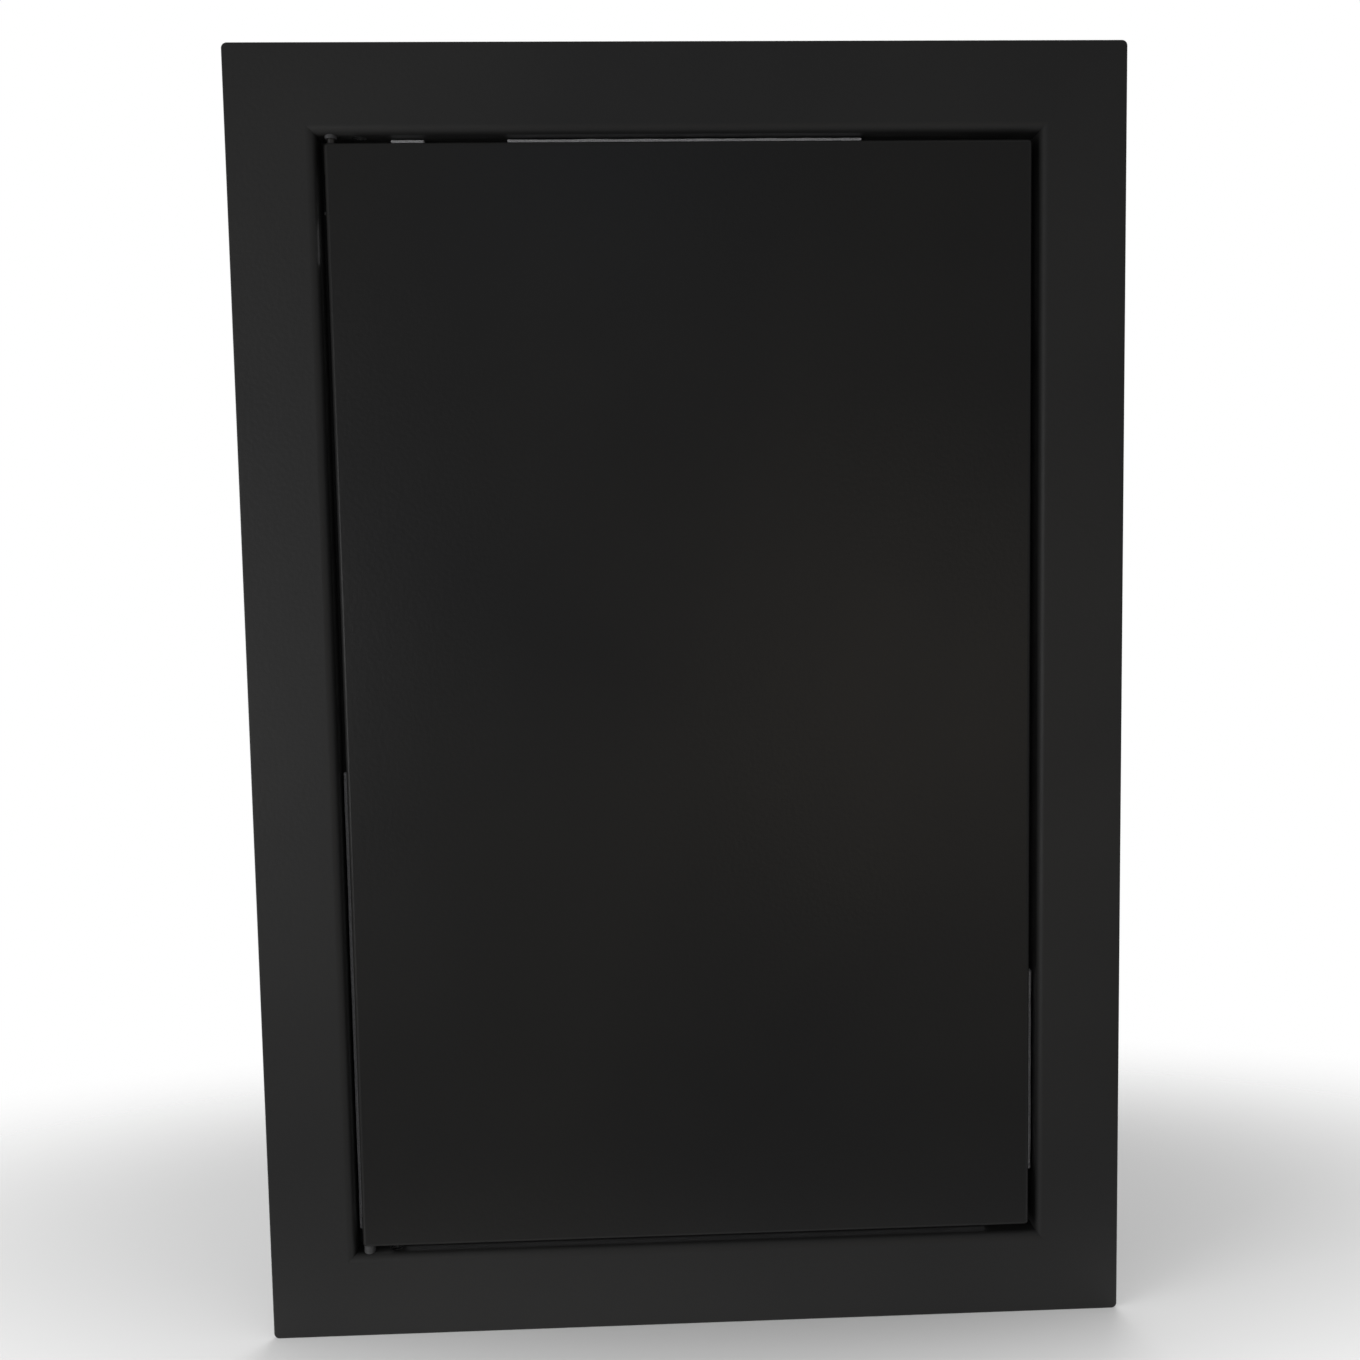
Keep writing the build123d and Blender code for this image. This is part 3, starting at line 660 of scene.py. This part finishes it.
nut_front = nut_low.y
nut_thickness = nut_high.y - nut_low.y
nut_across_flats = 0.016
nut_corner_radius = nut_across_flats / sqrt(3)
nut_bore = 0.00605
nut_bore_bevel = 0.0004
nut_corner_bevel = 0.0008
nut_corner_clearance = 0.0002
nut_round_sides = 96
nut_round_profile = (
    (nut_bore + nut_bore_bevel, 0.0),
    (nut_across_flats / 2, 0.0),
    (nut_corner_radius + nut_corner_clearance, nut_corner_bevel),
    (nut_corner_radius + nut_corner_clearance, nut_thickness - nut_corner_bevel),
    (nut_across_flats / 2, nut_thickness),
    (nut_bore + nut_bore_bevel, nut_thickness),
    (nut_bore, nut_thickness - nut_bore_bevel),
    (nut_bore, nut_bore_bevel),
    (nut_bore + nut_bore_bevel, 0.0),
)
nut_pattern = turned_piece(
    "nut_pattern", 6, ((nut_corner_radius, 0.0), (nut_corner_radius, nut_thickness)), turn=pi / 6
)
nut_round = turned_piece("nut_round", nut_round_sides, nut_round_profile, open_through=True)
combine(nut_pattern, nut_round, "INTERSECT")
soften(nut_pattern, 0, angle=25)
nut_pattern.data.materials.append(latch_plastic)
for level, end in (("upper", 1), ("lower", -1)):
    nut = copy_of(nut_pattern, f"{level}_lock_nut")
    set_in_place(nut, (latch_x, nut_front, end * latch_z), (0, 1, 0))
    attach(nut, "frame")
    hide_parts(f"{level}_latch_nut")
remove(nut_pattern)


# Latch plungers: moulded in the same grey plastic, with a rounded head that holds a nickel-plated disc
# magnet, and a grooved stem that slides in the barrel. They come out by 12 mm as the door opens.
plunger_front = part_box("upper_latch_plunger")[0].y
plunger_profile = (
    (0.00355, 0.0017),
    (0.00355, 0.0002),
    (0.00375, 0.0),
    (0.0041, 0.0),
    (0.0045, 0.0003),
    (0.0046, 0.0007),
    (0.0046, 0.0035),
    (0.0044, 0.0039),
    (0.0040, 0.0040),
    (0.0040, 0.0070),
    (0.0038, 0.0072),
    (0.0038, 0.0080),
    (0.0040, 0.0082),
    (0.0040, 0.0096),
    (0.0038, 0.0098),
    (0.0038, 0.0106),
    (0.0040, 0.0108),
    (0.0040, 0.0304),
    (0.0036, 0.0310),
)
magnet_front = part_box("upper_latch_magnet")[0].y
magnet_profile = (
    (0.0032, 0.0),
    (0.00342, 0.0001),
    (0.0035, 0.0003),
    (0.0035, 0.0017),
    (0.00342, 0.0019),
    (0.0032, 0.0020),
)
nickel_light = (0.62, 0.60, 0.57, 1.0)
nickel_dark = (0.54, 0.53, 0.50, 1.0)
nickel_roughness = (0.12, 0.26)
nickel_wear_scale = 300.0

nickel, shader = start_finish("nickel_plate")
shader.inputs["Metallic"].default_value = 1.0
wear = pattern(nickel, "ShaderNodeTexNoise", nickel_wear_scale, Detail=4.0)
colour_between(nickel, shader, wear, nickel_light, nickel_dark)
value_between(nickel, shader, "Roughness", wear, *nickel_roughness)

for kind, profile, front, finish, slot_name in (
    ("plunger", plunger_profile, plunger_front, latch_plastic, "grey_latch_plastic"),
    ("magnet", magnet_profile, magnet_front, nickel, "nickel_magnet"),
):
    piece_pattern = turned_piece(f"{kind}_pattern", barrel_sides, profile)
    soften(piece_pattern, 0)
    piece_pattern.data.materials.append(finish)
    for level, end in (("upper", 1), ("lower", -1)):
        piece = copy_of(piece_pattern, f"{level}_{kind}")
        set_in_place(piece, (latch_x, front, end * latch_z), (0, 1, 0))
        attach(piece, f"{level}_plunger")
        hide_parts(f"{level}_latch_{kind}")
    remove(piece_pattern)


# Door: one tray folded from 1.2 mm steel, with a channel spot-welded behind its face, then powder coated
# in satin black, with its colour set darker than the frame's and its gloss a little smoother. The coat
# rounds over the weld marks.
door_black = (0.0066, 0.0066, 0.0068, 1.0)
door_black_worn = (0.0084, 0.0082, 0.0078, 1.0)
door_roughness = (0.335, 0.365)
weld_sides = 28
weld_profile = (
    (0.0029, -0.00010),
    (0.0029, 0.00004),
    (0.0027, 0.00014),
    (0.0023, 0.00018),
    (0.0019, 0.00012),
    (0.0015, 0.00003),
    (0.0009, 0.00001),
)
channel_sheet = 0.0008
channel_weld_from_edge = 0.0041
channel_weld_from_end = 0.013
channel_weld_count = 9
channel_low, channel_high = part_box("door_stiffener")
channel_foot_x = channel_high.x - channel_weld_from_edge
channel_foot_depth = channel_low.y + channel_sheet
channel_weld_top = channel_high.z - channel_weld_from_end
channel_weld_step = 2 * channel_weld_top / (channel_weld_count - 1)

door_coat = powder_coat("satin_black_door", door_black, door_black_worn, door_roughness)
dress(["door_leaf", "door_stiffener"], door_coat)

weld_pattern = turned_piece("weld_pattern", weld_sides, weld_profile)
soften(weld_pattern, 0, angle=60)
weld_pattern.data.materials.append(door_coat)
for side_name, side in (("left", -1), ("right", 1)):
    for number in range(channel_weld_count):
        weld = copy_of(weld_pattern, f"channel_weld_{side_name}_{number + 1}")
        height = channel_weld_top - number * channel_weld_step
        set_in_place(weld, (side * channel_foot_x, channel_foot_depth, height), (0, 1, 0))
        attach(weld, "door")


# Strike plates: 22 mm squares of 1 mm zinc-plated steel, blanked with a rolled edge and bonded behind the
# door's face in front of the magnets, which have rubbed a dull ring into the plating.
strike_corner_radius = 0.002
strike_roll = 0.00025
strike_rub_radius = 0.0034
strike_rub_width = 0.0012
strike_rub_strength = 0.8
strike_rub_colour = (0.40, 0.40, 0.40, 1.0)


def rub_ring(finish, x, z, radius, width, colour):
    """Dull a ring of the finish round a place on the panel, seen from the front."""
    tree = finish.node_tree
    shader = tree.nodes["Principled BSDF"]
    plating = shader.inputs["Base Color"].links[0].from_socket
    place = tree.nodes.new("ShaderNodeTexCoord")
    centring = tree.nodes.new("ShaderNodeMapping")
    centring.inputs["Location"].default_value = (-x / radius, 0, -z / radius)
    centring.inputs["Scale"].default_value = (1 / radius, 0, 1 / radius)
    distance = tree.nodes.new("ShaderNodeVectorMath")
    distance.operation = "LENGTH"
    off_ring = tree.nodes.new("ShaderNodeMath")
    off_ring.operation = "SUBTRACT"
    off_ring.inputs[1].default_value = 1.0
    gap = tree.nodes.new("ShaderNodeMath")
    gap.operation = "ABSOLUTE"
    rub = tree.nodes.new("ShaderNodeMapRange")
    rub.interpolation_type = "SMOOTHSTEP"
    rub.inputs["From Max"].default_value = width / radius
    rub.inputs["To Min"].default_value = strike_rub_strength
    rub.inputs["To Max"].default_value = 0.0
    blend = tree.nodes.new("ShaderNodeMix")
    blend.data_type = "RGBA"
    tree.links.new(place.outputs["Object"], centring.inputs["Vector"])
    tree.links.new(centring.outputs["Vector"], distance.inputs[0])
    tree.links.new(distance.outputs["Value"], off_ring.inputs[0])
    tree.links.new(off_ring.outputs["Value"], gap.inputs[0])
    tree.links.new(gap.outputs["Value"], rub.inputs["Value"])
    tree.links.new(rub.outputs["Result"], blend.inputs[0])
    tree.links.new(plating, blend.inputs[6])
    blend.inputs[7].default_value = colour
    tree.links.new(blend.outputs[2], shader.inputs["Base Color"])


for level in ("upper", "lower"):
    strike_low, strike_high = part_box(f"{level}_strike_plate")
    middle = (strike_low + strike_high) / 2
    strike_zinc = zinc_plating(f"{level}_strike_zinc")
    rub_ring(
        strike_zinc, middle.x, middle.z, strike_rub_radius, strike_rub_width, strike_rub_colour
    )
    bpy.ops.object.select_all(action="DESELECT")
    bpy.ops.mesh.primitive_cube_add(size=1.0, location=middle)
    strike = bpy.context.active_object
    strike.name = f"{level}_strike"
    strike.scale = strike_high - strike_low
    bpy.ops.object.transform_apply(location=True, rotation=True, scale=True)
    bpy.ops.object.mode_set(mode="EDIT")
    shape = bmesh.from_edit_mesh(strike.data)
    bpy.ops.mesh.select_all(action="DESELECT")
    for edge in shape.edges:
        first, second = (corner.co for corner in edge.verts)
        edge.select_set(abs(first.y - second.y) > middle.y - strike_low.y)
    bmesh.update_edit_mesh(strike.data)
    bpy.ops.mesh.bevel(offset=strike_corner_radius, segments=6)
    bpy.ops.object.mode_set(mode="OBJECT")
    soften(strike, strike_roll, segments=3, angle=40)
    strike.data.materials.append(strike_zinc)
    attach(strike, "door")
    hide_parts(f"{level}_strike_plate")


# Hinge brackets: a leaf and knuckle at each hinge corner, spot-welded behind the door's face and coated
# with it. The pins are steel with an oiled black finish. The upper one is pushed up by a coil spring.
leaf_sheet = 0.00105
weld_from_leaf_edge = 0.0070
weld_from_knuckle_side = 0.0195
upper_leaf_welds = (
    (weld_from_knuckle_side, 0.0100),
    (weld_from_leaf_edge, 0.0100),
    (weld_from_leaf_edge, 0.0290),
)
lower_leaf_welds = ((weld_from_knuckle_side, 0.0130), (weld_from_leaf_edge, 0.0130))
oxide_black = (0.10, 0.10, 0.105, 1.0)
oxide_brown = (0.15, 0.145, 0.14, 1.0)
oxide_scale = 260.0
oxide_roughness = (0.34, 0.50)
pin_spring_length = 0.0124
pin_spring_wire_radius = 0.00025
pin_spring_wire_sides = 12
pin_spring_coil_radius = 0.0019
pin_spring_turns = 6
pin_low, pin_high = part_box("lower_hinge_pin")
pivot_x = (pin_low.x + pin_high.x) / 2
pivot_y = (pin_low.y + pin_high.y) / 2
spring_low, spring_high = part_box("pin_spring")
spring_base = Vector((pivot_x, pivot_y, (spring_low.z + spring_high.z - pin_spring_length) / 2))

dress(["upper_hinge_bracket", "lower_hinge_bracket"], door_coat)
for level, end, spots in (("upper", 1, upper_leaf_welds), ("lower", -1, lower_leaf_welds)):
    leaf_low, leaf_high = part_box(f"{level}_hinge_bracket")
    knuckle_end_z = leaf_high.z if end > 0 else leaf_low.z
    for number, (from_edge, from_end) in enumerate(spots, start=1):
        weld = copy_of(weld_pattern, f"{level}_hinge_weld_{number}")
        spot = (leaf_high.x - from_edge, leaf_low.y + leaf_sheet, knuckle_end_z - end * from_end)
        set_in_place(weld, spot, (0, 1, 0))
        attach(weld, "door")
remove(weld_pattern)

black_oxide, shader = start_finish("oiled_black_oxide")
shader.inputs["Metallic"].default_value = 1.0
blotches = pattern(black_oxide, "ShaderNodeTexNoise", oxide_scale, Detail=4.0)
colour_between(black_oxide, shader, blotches, oxide_black, oxide_brown)
value_between(black_oxide, shader, "Roughness", blotches, *oxide_roughness)
dress(["lower_hinge_pin", "upper_hinge_pin"], black_oxide)

spring = wound_piece(
    "pin_return_spring",
    pin_spring_wire_sides,
    pin_spring_wire_radius,
    pin_spring_coil_radius,
    pin_spring_turns,
    pin_spring_length - 2 * pin_spring_wire_radius,
)
set_in_place(spring, spring_base + Vector((0, 0, pin_spring_wire_radius)), (0, 0, 1))
soften(spring, 0, angle=60)
spring.data.materials.append(black_oxide)
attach(spring, "door")
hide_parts("pin_spring")
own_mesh(spring)


# The studio: a pale floor that fades out round the panel, a white background, and soft lamps. The lamps in
# front don't show in the coat's gloss, which mirrors a dim room and three faint glows instead. The room's
# strengths run from straight in front of the panel (0) to straight behind it (1).
floor_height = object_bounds()[0].z
floor_size = 2.0
floor_reach = (0.55, 0.24, 1.0)
floor_middle = (0.0, 0.10, 0.0)
floor_fade_start = 0.35
floor_colour = (0.80, 0.80, 0.80, 1.0)

bpy.ops.object.select_all(action="DESELECT")
bpy.ops.mesh.primitive_plane_add(size=floor_size, location=(0, 0, floor_height))
floor = bpy.context.active_object
floor.name = "studio_floor"

floor_paint = bpy.data.materials.new("pale_floor")
floor_paint.use_nodes = True
floor_nodes = floor_paint.node_tree.nodes
floor_links = floor_paint.node_tree.links
floor_nodes.clear()
place = floor_nodes.new("ShaderNodeTexCoord")
reach = floor_nodes.new("ShaderNodeMapping")
reach.inputs["Scale"].default_value = [1 / length for length in floor_reach]
reach.inputs["Location"].default_value = [
    -middle / length for middle, length in zip(floor_middle, floor_reach)
]
distance = floor_nodes.new("ShaderNodeVectorMath")
distance.operation = "LENGTH"
fade = floor_nodes.new("ShaderNodeMapRange")
fade.interpolation_type = "SMOOTHSTEP"
fade.inputs["From Min"].default_value = floor_fade_start
matt = floor_nodes.new("ShaderNodeBsdfDiffuse")
matt.inputs["Color"].default_value = floor_colour
clear = floor_nodes.new("ShaderNodeBsdfTransparent")
mix = floor_nodes.new("ShaderNodeMixShader")
output = floor_nodes.new("ShaderNodeOutputMaterial")
floor_links.new(place.outputs["Object"], reach.inputs["Vector"])
floor_links.new(reach.outputs["Vector"], distance.inputs[0])
floor_links.new(distance.outputs["Value"], fade.inputs["Value"])
floor_links.new(fade.outputs["Result"], mix.inputs["Fac"])
floor_links.new(matt.outputs["BSDF"], mix.inputs[1])
floor_links.new(clear.outputs["BSDF"], mix.inputs[2])
floor_links.new(mix.outputs["Shader"], output.inputs["Surface"])
floor.data.materials.append(floor_paint)

room_strengths = ((0.0, 0.06), (0.25, 0.18), (0.55, 0.18), (0.8, 0.95))
fill_strength = 0.40

studio = bpy.data.worlds.new("studio")
bpy.context.scene.world = studio
studio.use_nodes = True
sky_nodes = studio.node_tree.nodes
sky_links = studio.node_tree.links
background = sky_nodes["Background"]
direction = sky_nodes.new("ShaderNodeTexCoord")
axes = sky_nodes.new("ShaderNodeSeparateXYZ")
along = sky_nodes.new("ShaderNodeMapRange")
along.inputs["From Min"].default_value = -1.0
room = sky_nodes.new("ShaderNodeValToRGB")
room.color_ramp.interpolation = "EASE"
for direction_share, strength in room_strengths:
    stop = room.color_ramp.elements.new(direction_share)
    stop.color = (strength, strength, strength, 1.0)
room.color_ramp.elements.remove(room.color_ramp.elements[-1])
room.color_ramp.elements.remove(room.color_ramp.elements[0])
ray = sky_nodes.new("ShaderNodeLightPath")
glossy_or_clear = sky_nodes.new("ShaderNodeMath")
glossy_or_clear.operation = "MAXIMUM"
for_gloss = sky_nodes.new("ShaderNodeMix")
for_gloss.inputs["A"].default_value = fill_strength
for_camera = sky_nodes.new("ShaderNodeMix")
for_camera.inputs["B"].default_value = 1.0
sky_links.new(direction.outputs["Generated"], axes.inputs["Vector"])
sky_links.new(axes.outputs["Y"], along.inputs["Value"])
sky_links.new(along.outputs["Result"], room.inputs["Fac"])
sky_links.new(ray.outputs["Is Glossy Ray"], glossy_or_clear.inputs[0])
sky_links.new(ray.outputs["Is Transmission Ray"], glossy_or_clear.inputs[1])
sky_links.new(glossy_or_clear.outputs["Value"], for_gloss.inputs["Factor"])
sky_links.new(room.outputs["Color"], for_gloss.inputs["B"])
sky_links.new(ray.outputs["Is Camera Ray"], for_camera.inputs["Factor"])
sky_links.new(for_gloss.outputs["Result"], for_camera.inputs["A"])
sky_links.new(for_camera.outputs["Result"], background.inputs["Strength"])
background.inputs["Color"].default_value = (1, 1, 1, 1)


def softbox(name, place, aim, size, power, mirrored=True, colour=(1.0, 1.0, 1.0)):
    """A square soft light at a place, turned to a point, which glossy surfaces mirror or leave out."""
    bpy.ops.object.light_add(type="AREA", location=place)
    lamp = bpy.context.active_object
    lamp.name = name
    lamp.data.shape = "SQUARE"
    lamp.data.size = size
    lamp.data.energy = power
    lamp.data.color = colour
    lamp.rotation_euler = (Vector(aim) - Vector(place)).to_track_quat("-Z", "Y").to_euler()
    lamp.visible_glossy = mirrored


softbox("softbox_left", (-0.75, -0.50, -0.05), (-0.05, 0, 0), 0.5, 6.4, mirrored=False)
softbox("softbox_right", (0.7, -1.0, -0.2), (0, 0, 0), 0.8, 3.2, mirrored=False)
softbox("softbox_above", (0.0, 0.0, 1.3), (0, 0, 0), 0.8, 1.6, mirrored=False)
softbox("softbox_behind", (0.3, 1.3, 0.9), (0, 0, 0), 1.0, 10.0)
softbox("glow_left", (-0.75, -1.0, -0.04), (0, 0, 0), 0.4, 1.4)
softbox("glow_warm", (0.25, -0.9, -0.08), (0, 0, 0), 0.3, 0.14, colour=(1.0, 0.86, 0.68))
softbox("glow_cool", (-0.05, -0.85, 0.42), (0, 0, 0), 0.16, 0.035, colour=(0.72, 0.84, 1.0))

camera_place = (-0.024, -0.5256, 0.0533)
camera_turn = (85.22, 0.95, -2.31)
camera_lens = 38.4
camera_sensor = 36.0

camera_data = bpy.data.cameras.new("camera")
camera = bpy.data.objects.new("camera", camera_data)
bpy.context.scene.collection.objects.link(camera)
camera_data.sensor_width = camera_sensor
camera_data.lens = camera_lens
camera.location = camera_place
camera.rotation_euler = [radians(angle) for angle in camera_turn]
bpy.context.scene.camera = camera
bpy.context.scene.view_settings.view_transform = "Standard"
